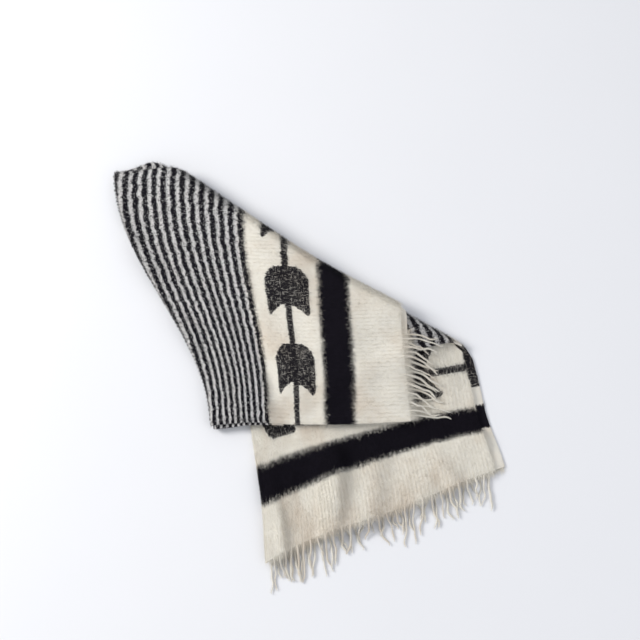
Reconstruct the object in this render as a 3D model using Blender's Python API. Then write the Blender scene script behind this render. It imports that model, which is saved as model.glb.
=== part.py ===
"""A hand-woven wool blanket, folded and laid on a flat surface.

The cloth is one flat rectangle that goes through three folds, one after the other. It is folded in half
along its length, the left end of that double strip is turned under, and the upper right is turned under
along a slanting edge. What lies beyond a fold's edge comes to lie beneath the rest. The layers then settle
over each other's edges, and a few soft ripples lift them. Each fold is one row in a table.

Flat cloth: x runs from -LENGTH at the far end to 0 at the near end, y from 0 to WIDTH, z up to THICK.
"""

import math
from collections import namedtuple

import bmesh
import bpy
from mathutils import Matrix, Vector

# Driving dimensions, in metres
WIDTH = 1.27
LENGTH = 1.80
THICK = 0.0045
CELL = 0.0375

# Each fold's edge passes through (x, y) in that direction, and what lies on its left goes under.
# The radius is the hollow left inside the fold, and steps are the flats round its bend.
Fold = namedtuple("Fold", "name x y degrees radius steps")
FOLDS = (
    Fold("half", x=-0.900, y=0.622, degrees=0.5, radius=0.0012, steps=4),
    Fold("left", x=-0.655, y=0.318, degrees=98.0, radius=0.0015, steps=5),
    Fold("ridge", x=-0.600, y=0.635, degrees=-32.0, radius=0.0015, steps=6),
)
NEUTRAL = 0.75  # share of the stack's thickness at which a bend keeps its length

# How the upper layers come down past the edge of a lower one
OVERHANG = 0.010
SLOPE = 0.080

# A soft ripple is a low ridge through (x, y) in that direction. A whole one lifts every layer, and the
# others lift only the two layers on top.
Ripple = namedtuple("Ripple", "x y degrees reach width height whole")
RIPPLES = (
    Ripple(x=-0.395, y=-0.190, degrees=-80, reach=0.21, width=0.060, height=0.012, whole=True),
    Ripple(x=-0.165, y=-0.150, degrees=-73, reach=0.24, width=0.065, height=0.015, whole=True),
    Ripple(x=0.020, y=-0.200, degrees=-86, reach=0.15, width=0.055, height=0.010, whole=True),
    Ripple(x=0.065, y=0.130, degrees=-38, reach=0.13, width=0.055, height=0.012, whole=True),
    Ripple(x=-0.620, y=0.330, degrees=-70, reach=0.30, width=0.068, height=0.013, whole=False),
    Ripple(x=-0.470, y=0.120, degrees=-62, reach=0.24, width=0.068, height=0.010, whole=False),
    Ripple(x=-0.300, y=0.420, degrees=-50, reach=0.26, width=0.068, height=0.010, whole=False),
    Ripple(x=-0.120, y=0.180, degrees=-76, reach=0.24, width=0.068, height=0.010, whole=False),
)

# Hand-woven edges are never straight: how far they wander, over what length, and from where in the wave
EDGE_WANDER = 0.006
SIDE_WAVE = 0.83
SIDE_START = 0.6
END_WAVE = 0.49
END_START = 2.1
# Nor is the folded stack: its folds and edges bend a little together
STACK_WANDER = 0.009
STACK_WAVE = 0.74
STACK_START_X = 1.1
STACK_START_Y = 0.4
# The stripes lean in towards the lower left, where the cloth is gathered
LEAN = 0.19
LEAN_FROM_X = -0.15
LEAN_TO_X = -0.80
# The lower panel swings about a place below the upper one, so that it rises more to the right, and
# slides to the right as well
SWING = 0.16
SWING_ABOUT = -0.10
SWING_FROM_Y = 0.05
SWING_TO_Y = -0.20
SLIDE = 0.030

# Fringe of twisted warp ends, on both ends of the cloth and both of its halves
STRIP = 0.006
STRIP_GAP = 0.0006
STRAND = 0.0034
STRAND_PITCH = 0.0215
STRAND_LENGTH = 0.078
STRAND_STEPS = 4
STRAND_SWAY = 0.0030
STRAND_UNEVEN = 0.24
# A strand of the upper half comes down beside those of the lower half: from how far out, over what length
FALL_FROM = 0.018
STRAND_FALL = 0.034
# A run of fringe goes from one y to another on an end of the cloth. A turned one ends up upside down
# beneath the slanting edge, and one on the floor stays level there.
Fringe = namedtuple("Fringe", "node near low high turned on_floor")
FRINGES = (
    Fringe("fringe_near_top", near=True, low=0.004, high=0.219, turned=False, on_floor=False),
    Fringe("fringe_near_lower", near=True, low=1.051, high=1.266, turned=False, on_floor=False),
    Fringe("fringe_under_top", near=True, low=0.342, high=0.606, turned=True, on_floor=True),
    Fringe("fringe_under_lower", near=True, low=0.648, high=0.932, turned=True, on_floor=True),
    Fringe("fringe_far_top", near=False, low=0.004, high=0.606, turned=False, on_floor=True),
    Fringe("fringe_far_lower", near=False, low=0.642, high=1.266, turned=False, on_floor=True),
)
FRINGE_ROOM = 0.0065  # height kept free for the fringe that lies beneath the slanting edge
FRINGE_REACH = 0.105

SNAP = 3e-5  # heights below this are the surface that the blanket lies on


def smooth(t):
    """Eases from 0 to 1 as t goes from 0 to 1."""
    t = min(1.0, max(0.0, t))
    return t * t * (3 - 2 * t)


def stack_heights():
    """Thickness of the stack before each fold, and after the last one."""
    heights = [THICK]
    for fold in FOLDS:
        heights.append(2 * heights[-1] + 2 * fold.radius)
    return heights


HEIGHTS = stack_heights()


def edge_normal(fold):
    """The direction in the plane that points across the fold's edge, to the side that goes under."""
    angle = math.radians(fold.degrees)
    return Vector((-math.sin(angle), math.cos(angle), 0))


def beyond(point, fold):
    """How far the point lies beyond the fold's edge."""
    return (Vector((point.x - fold.x, point.y - fold.y, 0))).dot(edge_normal(fold))


def bend_radius(index):
    """The radius at which the stack keeps its length round this fold."""
    return FOLDS[index].radius + NEUTRAL * HEIGHTS[index]


def bend_length(index):
    """The length of cloth that goes round this fold's bend."""
    return math.pi * bend_radius(index)


def fold_under(point, index):
    """Where a point of the stack goes when what lies beyond the edge is folded under it."""
    fold = FOLDS[index]
    past = beyond(point, fold)
    lift = HEIGHTS[index] + 2 * fold.radius
    if past <= 0:
        return point + Vector((0, 0, lift))
    arm = point.z + fold.radius
    turn = past / bend_radius(index)
    if turn < math.pi:
        across = arm * math.sin(turn)
        height = arm * math.cos(turn) - fold.radius
    else:
        across = bend_length(index) - past
        height = -arm - fold.radius
    flat = Vector((point.x, point.y, 0)) + edge_normal(fold) * (across - past)
    return flat + Vector((0, 0, height + lift))


def mirror(index):
    """The flat mirror that a fold amounts to, about the middle of its bend."""
    fold = FOLDS[index]
    normal = edge_normal(fold)
    middle = Vector((fold.x, fold.y, 0)) + normal * bend_length(index) / 2
    return Matrix.Translation(middle) @ Matrix.Scale(-1, 4, normal) @ Matrix.Translation(-middle)


def clipped(outline, index, folded):
    """The part of a convex outline on one side of the middle of a fold's bend."""
    side = 1 if folded else -1
    depths = [side * (beyond(p, FOLDS[index]) - bend_length(index) / 2) for p in outline]
    kept = []
    for i, point in enumerate(outline):
        j = (i + 1) % len(outline)
        if depths[i] >= 0:
            kept.append(point)
        if depths[i] * depths[j] < 0:
            kept.append(point.lerp(outline[j], depths[i] / (depths[i] - depths[j])))
    return kept


def mirrored(outline, index):
    """The outline after its fold, turned back to run the same way round."""
    return [mirror(index) @ p for p in reversed(outline)]


def rectangle(low_x, high_x, high_y):
    """A rectangle that starts at y = 0, run anticlockwise."""
    return [Vector(p) for p in ((low_x, 0, 0), (high_x, 0, 0), (high_x, high_y, 0), (low_x, high_y, 0))]


def lower_layers():
    """The double layers below the top one, from the surface up: each one's outline, lowest height and
    depth. The first is the fringe that lies beneath the slanting edge, with its flap."""
    half, left, ridge = range(3)
    across = FOLDS[half].y + bend_length(half) / 2
    strip = rectangle(-LENGTH, 0, across)
    fringed = clipped(rectangle(-LENGTH, FRINGE_REACH, across), left, False)
    turned = mirrored(clipped(strip, left, True), left)
    flap = HEIGHTS[1] + 2 * FOLDS[left].radius
    both = HEIGHTS[2] + 2 * FOLDS[ridge].radius
    return (
        (mirrored(clipped(fringed, ridge, True), ridge), 0, FRINGE_ROOM),
        (mirrored(clipped(clipped(strip, left, False), ridge, True), ridge), FRINGE_ROOM,
         flap - FRINGE_ROOM),
        (mirrored(clipped(turned, ridge, True), ridge), flap, both - flap),
        (clipped(turned, ridge, False), both, flap),
    )


LAYERS = lower_layers()
TOP_FROM = LAYERS[-1][1] + LAYERS[-1][2]


def outside(x, y, outline):
    """How far a place lies outside a convex outline that runs anticlockwise."""
    return max(
        ((y - a.y) * (b.x - a.x) - (x - a.x) * (b.y - a.y)) / -max((b - a).length, 1e-9)
        for a, b in zip(outline, outline[1:] + outline[:1])
    )


def settled(point):
    """The point's height once the layers come down over the edges of the ones below."""
    height = point.z
    for outline, low, depth in LAYERS:
        missing = smooth((outside(point.x, point.y, outline) - OVERHANG) / SLOPE)
        height -= missing * min(depth, max(0.0, point.z - low))
    return height


def ripple_lift(point):
    """How far the soft ripples lift a point of the stack."""
    share_of_top = smooth((point.z - TOP_FROM) / (2 * FOLDS[1].radius) + 1)
    lift = 0.0
    for r in RIPPLES:
        angle = math.radians(r.degrees)
        dx, dy = point.x - r.x, point.y - r.y
        along = dx * math.cos(angle) + dy * math.sin(angle)
        across = dy * math.cos(angle) - dx * math.sin(angle)
        if abs(along) < r.reach:
            crest = math.exp(-((across / r.width) ** 2)) * math.cos(along / r.reach * math.pi / 2) ** 2
            lift += crest * r.height * (1 if r.whole else share_of_top)
    return lift


def uneven(point):
    """The flat cloth with its edges wandering a little, as a hand loom leaves them."""
    sideways = EDGE_WANDER * math.sin(2 * math.pi * point.x / SIDE_WAVE + SIDE_START)
    endways = EDGE_WANDER * math.sin(2 * math.pi * point.y / END_WAVE + END_START)
    return point + Vector((endways, sideways * (point.y / WIDTH * 2 - 1), 0))


def leaned(point):
    """The folded stack with its outline wandering, leaning in at the lower left, and its lower panel
    swung and slid to the right."""
    wave = 2 * math.pi / STACK_WAVE
    shift_x = STACK_WANDER * math.sin(wave * point.y + STACK_START_X)
    shift_y = STACK_WANDER * math.sin(wave * point.x + STACK_START_Y)
    leftness = smooth((point.x - LEAN_FROM_X) / (LEAN_TO_X - LEAN_FROM_X))
    lowness = 1 - smooth(point.y / FOLDS[0].y)
    swung = smooth((point.y - SWING_FROM_Y) / (SWING_TO_Y - SWING_FROM_Y))
    shift_x += LEAN * leftness * lowness + SLIDE * swung
    shift_y += SWING * swung * (point.x - SWING_ABOUT)
    return point + Vector((shift_x, shift_y, 0))


def lay(point, level=0.0):
    """Where a point of the flat cloth lies at the end. A level of 1 leaves out the ripples."""
    for index in range(len(FOLDS)):
        point = fold_under(point, index)
    height = settled(point) + ripple_lift(point) * (1 - level)
    point = leaned(point)
    return Vector((point.x, point.y, 0 if abs(height) < SNAP else height))


def facet_key(point, count):
    """Which side of each of the first folds a place on the flat cloth comes to lie, and the mirrors
    that take it there."""
    key, turn = (), Matrix.Identity(4)
    for index in range(count):
        if beyond(turn @ point, FOLDS[index]) > bend_length(index) / 2:
            key += (True,)
            turn = mirror(index) @ turn
        else:
            key += (False,)
    return key, turn


def cut_along_folds(bm):
    """Cuts the flat cloth along the flats of every bend, so that it folds there and nowhere else."""
    for index, fold in enumerate(FOLDS):
        keys = {facet_key(f.calc_center_median(), index)[0] for f in bm.faces}
        for key in sorted(keys):
            for step in range(fold.steps + 1):
                depth = bend_length(index) * step / fold.steps
                faces = [f for f in bm.faces if facet_key(f.calc_center_median(), index)[0] == key]
                turn = facet_key(faces[0].calc_center_median(), index)[1].inverted()
                spot = Vector((fold.x, fold.y, 0)) + edge_normal(fold) * depth
                edges = {e for f in faces for e in f.edges}
                verts = {v for f in faces for v in f.verts}
                bmesh.ops.bisect_plane(
                    bm,
                    geom=faces + list(edges) + list(verts),
                    dist=1e-5,
                    plane_co=turn @ spot,
                    plane_no=turn.to_3x3() @ edge_normal(fold),
                )


def flat_cloth():
    """The cloth as a flat slab on its grid of cells, cut along the folds. Returns its mesh, and the
    places of its points along the near and the far end."""
    bm = bmesh.new()
    bmesh.ops.create_grid(
        bm, x_segments=round(LENGTH / CELL), y_segments=round(WIDTH / CELL), size=0.5
    )
    bmesh.ops.scale(bm, vec=(LENGTH, WIDTH, 1), verts=bm.verts)
    bmesh.ops.translate(bm, vec=(-LENGTH / 2, WIDTH / 2, 0), verts=bm.verts)
    for vert in bm.verts:
        vert.co = uneven(vert.co)
    cut_along_folds(bm)
    bmesh.ops.triangulate(bm, faces=bm.faces)
    ends = [
        sorted((v.co.copy() for v in bm.verts if v.is_boundary and abs(v.co.x - x) < CELL / 2),
               key=lambda place: place.y)
        for x in (0, -LENGTH)
    ]
    raised = bmesh.ops.extrude_face_region(bm, geom=bm.faces[:])
    upper = [v for v in raised["geom"] if isinstance(v, bmesh.types.BMVert)]
    bmesh.ops.translate(bm, vec=(0, 0, THICK), verts=upper)
    bmesh.ops.recalc_face_normals(bm, faces=bm.faces)
    return bm, ends


def unlike(number):
    """A value between -1 and 1 that is different for each number, with no pattern that shows."""
    return math.sin(number * number + 2.4 * number)


def strand_sway(number, step):
    """How far a strand leans sideways at a step along it, different for each strand."""
    return STRAND_SWAY * step / STRAND_STEPS * unlike(number + step / STRAND_STEPS)


def strand_reach(number):
    """How long one strand is, since no two are cut the same."""
    return STRAND_LENGTH * (1 + STRAND_UNEVEN * unlike(number))


def strand_places(fringe):
    """The y of each strand of a run. Those of the folded half come to lie between the others."""
    half = FOLDS[0]
    slant = math.tan(math.radians(half.degrees))
    middle = half.y + slant * ((0 if fringe.near else -LENGTH) - half.x) + bend_length(0) / 2
    numbers = range(int(middle / STRAND_PITCH) + 1)
    if fringe.high < half.y:
        places = [(n + 0.25) * STRAND_PITCH for n in numbers]
    else:
        places = [2 * middle - (n + 0.75) * STRAND_PITCH for n in numbers]
    return sorted(y for y in places if fringe.low + STRAND < y < fringe.high - STRAND)


def is_falling(fringe):
    """Whether the run's strands come down from the upper half of the cloth to the lower one."""
    return (fringe.high < FOLDS[0].y) != fringe.turned


def along_end(y, end):
    """The two points of the cloth's end on either side of this y, and how far it is between them."""
    after = next(i for i in range(1, len(end)) if end[i].y >= y or i == len(end) - 1)
    a, b = end[after - 1], end[after]
    return a, b, (y - a.y) / (b.y - a.y)


def beside(y, out, z, end):
    """Where a place beside the cloth's end lies, in line with the cloth's own facets there."""
    a, b, share = along_end(y, end)
    laid = [lay(Vector((place.x + out, place.y, z))) for place in (a, b)]
    return laid[0].lerp(laid[1], share)


def fringe_mesh(fringe, end):
    """One run of fringe: a narrow strip beside the cloth's end, and its strands drawn out of it."""
    bm = bmesh.new()
    outward = 1 if fringe.near else -1
    falling = is_falling(fringe)
    sides = set()
    for number, centre in enumerate(strand_places(fringe)):
        sides |= {(centre - STRAND / 2, number), (centre + STRAND / 2, number)}
    taken = [y for y, _ in sides]
    knots = {
        (place.y, -1)
        for place in end
        if fringe.low < place.y < fringe.high and min(abs(place.y - y) for y in taken) > STRAND
    }
    ys = sorted({(fringe.low, -1), (fringe.high, -1)} | sides | knots)
    zs = (0, STRAND, THICK) if falling else (0, THICK - STRAND, THICK)
    root_row = 0 if falling else 1
    near, far = ([[bm.verts.new(beside(y, outward * out, z, end)) for z in zs] for y, _ in ys]
                 for out in (STRIP_GAP, STRIP_GAP + STRIP))
    for i in range(len(ys) - 1):
        for k in range(2):
            bm.faces.new((near[i][k], near[i][k + 1], near[i + 1][k + 1], near[i + 1][k]))
            face = bm.faces.new((far[i][k], far[i + 1][k], far[i + 1][k + 1], far[i][k + 1]))
            if k == root_row and ys[i][1] >= 0 and ys[i][1] == ys[i + 1][1]:
                draw_strand(bm, face, fringe, ys[i], ys[i + 1], zs[k:k + 2], end)
        for k in (0, 2):
            bm.faces.new((near[i][k], near[i + 1][k], far[i + 1][k], far[i][k]))
    for i in (0, -1):
        for k in range(2):
            bm.faces.new((near[i][k], near[i][k + 1], far[i][k + 1], far[i][k]))
    bmesh.ops.recalc_face_normals(bm, faces=bm.faces)
    return bm


def draw_strand(bm, root, fringe, first, last, heights, end):
    """Draws one strand out of its root face, step by step."""
    number = first[1]
    outward = 1 if fringe.near else -1
    for step in range(1, STRAND_STEPS + 1):
        root = bmesh.ops.extrude_discrete_faces(bm, faces=[root])["faces"][0]
        out = strand_reach(number) * step / STRAND_STEPS
        fall = smooth((out - FALL_FROM) / STRAND_FALL)
        drop = fall * (THICK + 2 * FOLDS[0].radius) if is_falling(fringe) else 0
        level = smooth(out / STRAND_FALL) if fringe.on_floor else 0
        sway = strand_sway(number, step)
        corners = (
            (first[0], heights[0]), (last[0], heights[0]), (last[0], heights[1]), (first[0], heights[1]),
        )
        for vert, (y, z) in zip(root.verts, corners):
            a, b, share = along_end(y, end)
            x = a.lerp(b, share).x + outward * (STRIP_GAP + STRIP + out)
            vert.co = lay(Vector((x, y + sway, z - drop)), level)


def made_object(name, bm, material):
    """Makes a mesh an object."""
    mesh = bpy.data.meshes.new(name)
    bm.to_mesh(mesh)
    bm.free()
    mesh.materials.append(material)
    return bpy.data.objects.new(name, mesh)


def wool(name, colour):
    """A dull wool finish."""
    material = bpy.data.materials.new(name)
    material.use_nodes = True
    shader = material.node_tree.nodes["Principled BSDF"]
    shader.inputs["Base Color"].default_value = (*colour, 1)
    shader.inputs["Roughness"].default_value = 0.95
    shader.inputs["Metallic"].default_value = 0.0
    return material


def centred(things):
    """Moves every mesh so that the origin is at the middle of the blanket's foot."""
    corners = [v.co for thing in things for v in thing.data.vertices]
    middle_x = (min(c.x for c in corners) + max(c.x for c in corners)) / 2
    middle_y = (min(c.y for c in corners) + max(c.y for c in corners)) / 2
    for thing in things:
        thing.data.transform(Matrix.Translation((-middle_x, -middle_y, 0)))


def build():
    """Clears the scene and makes the blanket."""
    for thing in list(bpy.data.objects):
        bpy.data.objects.remove(thing)
    collection = bpy.data.collections.new("blanket")
    bpy.context.scene.collection.children.link(collection)
    striped = wool("striped_wool", (0.62, 0.60, 0.55))
    cream = wool("cream_wool", (0.82, 0.79, 0.71))
    cloth, ends = flat_cloth()
    for vert in cloth.verts:
        vert.co = lay(vert.co.copy())
    things = [made_object("blanket", cloth, striped)]
    for fringe in FRINGES:
        end = ends[0 if fringe.near else 1]
        things.append(made_object(fringe.node, fringe_mesh(fringe, end), cream))
    centred(things)
    for thing in things:
        collection.objects.link(thing)


build()
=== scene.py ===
# %% [markdown]
# # A folded wool blanket
#
# This lesson dresses a plain, folded solid as a hand-woven, brushed wool blanket. Three things make such
# a blanket look real: cloth that bends round its folds in true thickness, dyed bands whose edges are as
# hairy as the wool itself, and a pile of loose fibres that catches the light. We build them in that order,
# and then the fringe, the floor, the light and the camera.

# %% Tools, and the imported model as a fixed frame
import math
from collections import namedtuple

import bmesh
import bpy
import numpy as np
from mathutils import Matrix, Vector
from mathutils.bvhtree import BVHTree


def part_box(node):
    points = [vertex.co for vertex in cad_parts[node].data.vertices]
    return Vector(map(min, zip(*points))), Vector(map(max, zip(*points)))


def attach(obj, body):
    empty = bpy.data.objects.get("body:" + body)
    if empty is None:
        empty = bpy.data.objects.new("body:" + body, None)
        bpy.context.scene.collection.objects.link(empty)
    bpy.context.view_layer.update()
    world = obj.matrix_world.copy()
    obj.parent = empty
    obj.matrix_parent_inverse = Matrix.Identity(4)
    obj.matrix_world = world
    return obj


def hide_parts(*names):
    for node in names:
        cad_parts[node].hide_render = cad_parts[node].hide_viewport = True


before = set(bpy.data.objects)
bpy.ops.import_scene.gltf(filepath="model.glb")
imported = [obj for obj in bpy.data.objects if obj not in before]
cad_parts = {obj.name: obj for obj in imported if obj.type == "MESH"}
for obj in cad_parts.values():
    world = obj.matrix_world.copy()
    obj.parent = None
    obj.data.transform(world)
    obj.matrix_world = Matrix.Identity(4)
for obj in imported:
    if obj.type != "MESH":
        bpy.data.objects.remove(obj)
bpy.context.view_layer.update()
rng = np.random.default_rng(7)

# %% [markdown]
# ## The cloth before it is folded
#
# A blanket is a flat rectangle with a history. If we keep that rectangle, every thread, band and fibre can
# be placed on it in plain flat coordinates, and one function then folds them all alike. These are the
# sizes of the flat cloth and the same three folds that the solid went through. Flat x runs from
# -LENGTH at the far end to 0 at the near end, flat y from 0 to WIDTH, and flat z from 0 to THICK.

# %% Sizes of the flat cloth, and its folds
WIDTH = 1.27
LENGTH = 1.80
THICK = 0.0045
STRIP = 0.0066  # the last rows of weave, from which the fringe comes out

Fold = namedtuple("Fold", "name x y degrees radius steps")
FOLDS = (
    Fold("half", x=-0.900, y=0.622, degrees=0.5, radius=0.0012, steps=6),
    Fold("left", x=-0.655, y=0.318, degrees=98.0, radius=0.0015, steps=8),
    Fold("ridge", x=-0.600, y=0.635, degrees=-32.0, radius=0.0015, steps=10),
)
NEUTRAL = 0.75
OVERHANG = 0.010
SLOPE = 0.080

EDGE_WANDER = 0.006
SIDE_WAVE, SIDE_START = 0.83, 0.6
END_WAVE, END_START = 0.49, 2.1
STACK_WANDER = 0.009
STACK_WAVE, STACK_START_X, STACK_START_Y = 0.74, 1.1, 0.4
LEAN, LEAN_FROM_X, LEAN_TO_X = 0.19, -0.15, -0.80
SWING, SWING_ABOUT, SWING_FROM_Y, SWING_TO_Y = 0.16, -0.10, 0.05, -0.20
SLIDE = 0.030

HEIGHTS = [THICK]
for fold in FOLDS:
    HEIGHTS.append(2 * HEIGHTS[-1] + 2 * fold.radius)
print("stack after each fold, in mm:", [round(1000 * h, 1) for h in HEIGHTS])

# %% [markdown]
# ## Folding as a bend of space
#
# A sheet could be folded with bones or a cloth simulation. Here each fold is a small piece of geometry
# instead: what lies before the edge stays, what lies within half a turn of it goes round a cylinder, and
# what lies beyond comes back beneath. Each function takes all the points at once, as rows of an array,
# because there are hundreds of thousands of them.

# %% Round one fold


def smooth(t):
    """Eases from 0 to 1 as t goes from 0 to 1."""
    t = np.clip(t, 0, 1)
    return t * t * (3 - 2 * t)


def edge_normal(fold):
    """The direction across the fold's edge, to the side that goes under."""
    angle = math.radians(fold.degrees)
    return np.array([-math.sin(angle), math.cos(angle)])


def bend_radius(index):
    """The radius at which the stack keeps its length round this fold."""
    return FOLDS[index].radius + NEUTRAL * HEIGHTS[index]


def bend_length(index):
    """The length of cloth that goes round this fold's bend."""
    return math.pi * bend_radius(index)


def beyond(points, index):
    """How far each point lies beyond the fold's edge."""
    fold = FOLDS[index]
    return (points[:, :2] - (fold.x, fold.y)) @ edge_normal(fold)


def fold_under(points, index):
    """The points of the stack after this fold."""
    fold = FOLDS[index]
    past = beyond(points, index)
    arm = points[:, 2] + fold.radius
    turn = past / bend_radius(index)
    bending = turn < math.pi
    across = np.where(bending, arm * np.sin(turn), bend_length(index) - past)
    height = np.where(bending, arm * np.cos(turn), -arm) - fold.radius
    moved = past > 0
    folded = points.copy()
    folded[:, :2] += np.where(moved, across - past, 0)[:, None] * edge_normal(fold)
    folded[:, 2] = np.where(moved, height, points[:, 2]) + HEIGHTS[index] + 2 * fold.radius
    return folded


print("cloth in each bend, in mm:", [round(1000 * bend_length(i), 1) for i in range(len(FOLDS))])

# %% [markdown]
# ## How the layers settle
#
# After three folds there are up to eight layers, but not everywhere. Where a lower pair of layers ends,
# the ones above come down over its edge in a soft slope. We need the outline of each lower pair, which is
# the flat strip clipped and mirrored at the folds, and how far outside it a point lies.

# %% The outlines of the lower layers


def mirrored(points, index):
    """Flat points after a fold, taken as a mirror about the middle of its bend."""
    depth = beyond(points, index) - bend_length(index) / 2
    turned = points.copy()
    turned[:, :2] -= 2 * depth[:, None] * edge_normal(FOLDS[index])
    return turned


def clipped(outline, index, folded):
    """The part of a convex outline on one side of the middle of a fold's bend."""
    depths = (beyond(outline, index) - bend_length(index) / 2) * (1 if folded else -1)
    kept = []
    for i, point in enumerate(outline):
        j = (i + 1) % len(outline)
        if depths[i] >= 0:
            kept.append(point)
        if depths[i] * depths[j] < 0:
            kept.append(point + (outline[j] - point) * depths[i] / (depths[i] - depths[j]))
    return np.array(kept)


def rectangle(low_x, high_x, high_y):
    """A rectangle that starts at y = 0, run anticlockwise."""
    return np.array([(low_x, 0), (high_x, 0), (high_x, high_y), (low_x, high_y)], float)


def tucked(outline, index):
    """The part of an outline that a fold takes under, where it lies afterwards."""
    return mirrored(clipped(outline, index, True), index)[::-1]


FRINGE_ROOM = 0.0065
FRINGE_REACH = 0.105
half, left, ridge = range(3)
strip_height = FOLDS[half].y + bend_length(half) / 2
whole_strip = rectangle(-LENGTH, 0, strip_height)
fringed_strip = rectangle(-LENGTH, FRINGE_REACH, strip_height)
turned_strip = tucked(whole_strip, left)
flap_depth = HEIGHTS[1] + 2 * FOLDS[left].radius
both_depth = HEIGHTS[2] + 2 * FOLDS[ridge].radius
TOP_FROM = both_depth + flap_depth

top_outline = clipped(clipped(whole_strip, left, False), ridge, False)

Layer = namedtuple("Layer", "outline low depth")
LAYERS = (
    Layer(tucked(clipped(fringed_strip, left, False), ridge), 0, FRINGE_ROOM),
    Layer(tucked(clipped(whole_strip, left, False), ridge), FRINGE_ROOM, flap_depth - FRINGE_ROOM),
    Layer(tucked(turned_strip, ridge), flap_depth, both_depth - flap_depth),
    Layer(clipped(turned_strip, ridge, False), both_depth, flap_depth),
)


def outside(points, outline):
    """How far each point lies outside a convex outline that runs anticlockwise."""
    starts, ends = outline, np.roll(outline, -1, axis=0)
    along = ends - starts
    lengths = np.maximum(np.linalg.norm(along, axis=1), 1e-9)
    offsets = points[:, None, :2] - starts
    return ((offsets[..., 0] * along[:, 1] - offsets[..., 1] * along[:, 0]) / lengths).max(axis=1)


def settled(points):
    """Each point's height once the layers come down over the edges below them."""
    height = points[:, 2].copy()
    for layer in LAYERS:
        missing = smooth((outside(points, layer.outline) - OVERHANG) / SLOPE)
        height -= missing * np.clip(points[:, 2] - layer.low, 0, layer.depth)
    return height


print("the upper panel starts at", round(1000 * TOP_FROM, 1), "mm")

# %% [markdown]
# ## Ripples and creases
#
# Heavy wool doesn't lie dead flat. The broad ripples are the solid's own. The creases are finer and only
# in the layers that show, so each lifts the layers above a height and leaves the rest alone. A crease only
# ever lifts, which keeps the layers from meeting. Every one is a low ridge through a point, in a
# direction, that dies away along its reach.

# %% Ripples and creases
# Each row has x, y, degrees, reach, width, height, and the layers that it lifts
RIPPLES = (
    (-0.395, -0.190, -80, 0.21, 0.060, 0.012, "all"),
    (-0.165, -0.150, -73, 0.24, 0.065, 0.015, "all"),
    (0.020, -0.200, -86, 0.15, 0.055, 0.010, "all"),
    (0.065, 0.130, -38, 0.13, 0.055, 0.012, "all"),
    (-0.620, 0.330, -70, 0.30, 0.068, 0.013, "top"),
    (-0.470, 0.120, -62, 0.24, 0.068, 0.010, "top"),
    (-0.300, 0.420, -50, 0.26, 0.068, 0.010, "top"),
    (-0.120, 0.180, -76, 0.24, 0.068, 0.010, "top"),
)
CREASES = (
    (-0.680, 0.430, -64, 0.19, 0.024, 0.0100, "top"),
    (-0.610, 0.190, -62, 0.20, 0.020, 0.0100, "top"),
    (-0.530, 0.120, -66, 0.17, 0.018, 0.0080, "top"),
    (-0.490, 0.360, -58, 0.18, 0.022, 0.0070, "top"),
    (-0.400, 0.070, -74, 0.13, 0.020, 0.0070, "top"),
    (-0.270, 0.330, -42, 0.16, 0.024, 0.0060, "top"),
    (-0.010, 0.105, -88, 0.20, 0.046, 0.0075, "top"),
    (-0.200, 0.060, -86, 0.14, 0.026, 0.0035, "top"),
    (-0.075, 0.066, 14, 0.14, 0.040, 0.0090, "top"),
    (-0.350, -0.230, -72, 0.18, 0.022, 0.0080, "lower"),
    (-0.186, -0.130, -94, 0.22, 0.030, 0.0205, "lower"),  # a pleat down the panel
    (-0.090, -0.160, -92, 0.20, 0.034, 0.0125, "lower"),
    (0.100, -0.190, -68, 0.15, 0.022, 0.0100, "lower"),
    (-0.230, -0.330, -58, 0.12, 0.020, 0.0070, "lower"),
    (0.180, -0.060, -48, 0.12, 0.022, 0.0070, "lower"),
)
PUCKER = 0.0016
PUCKER_LENGTH = 0.095
PUCKER_BEND, PUCKER_BEND_RATE = 1.4, 9
# Each wave has its degrees, its share of the length and its start
PUCKER_WAVES = ((12, 1.0, 0.3), (67, 0.83, 1.9), (118, 1.21, 4.1), (163, 0.71, 2.6))
BARE_FROM, BARE_OVER = 0.02, 0.05  # where lower layers come out from under the upper panel


def puckers(points):
    """A shallow, uneven quilting of the surface, from a few waves that cross."""
    field = np.zeros(len(points))
    for degrees, length, start in PUCKER_WAVES:
        angle = math.radians(degrees)
        way = points[:, 0] * math.cos(angle) + points[:, 1] * math.sin(angle)
        field += np.sin(way * 2 * math.pi / (PUCKER_LENGTH * length) + start
                        + PUCKER_BEND * np.sin(way * PUCKER_BEND_RATE + 3 * start))
    return PUCKER * (field / len(PUCKER_WAVES) + 0.5)


def shares(points):
    """How much of a lift each point takes: in all layers, in the top ones, and in bare lower ones."""
    top = smooth((points[:, 2] - TOP_FROM) / (2 * FOLDS[left].radius) + 1)
    upper_of_lower = smooth((points[:, 2] - flap_depth - THICK) / (2 * FOLDS[half].radius))
    bare = np.minimum(outside(points, top_outline), outside(points, LAYERS[-1].outline))
    lower = upper_of_lower * smooth((bare - BARE_FROM) / BARE_OVER)
    return {"all": np.ones(len(points)), "top": top, "lower": lower}


def ridges(points, table, share):
    """How far the ridges of a table lift each point of the stack."""
    lift = np.zeros(len(points))
    for x, y, degrees, reach, width, height, layers in table:
        angle = math.radians(degrees)
        dx, dy = points[:, 0] - x, points[:, 1] - y
        along = dx * math.cos(angle) + dy * math.sin(angle)
        across = dy * math.cos(angle) - dx * math.sin(angle)
        ends = np.where(abs(along) < reach, np.cos(along / reach * math.pi / 2) ** 2, 0)
        lift += height * np.exp(-((across / width) ** 2)) * ends * share[layers]
    return lift


print("ripples:", len(RIPPLES), "creases:", len(CREASES))

# %% [markdown]
# ## One function that lays everything
#
# `lay` folds flat points, settles and ripples them, and moves them to where the solid lies. The solid's
# origin is at the middle of its foot, so we lay a coarse grid of the cloth once to find that shift.

# %% Laying flat points where the solid lies


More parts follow.
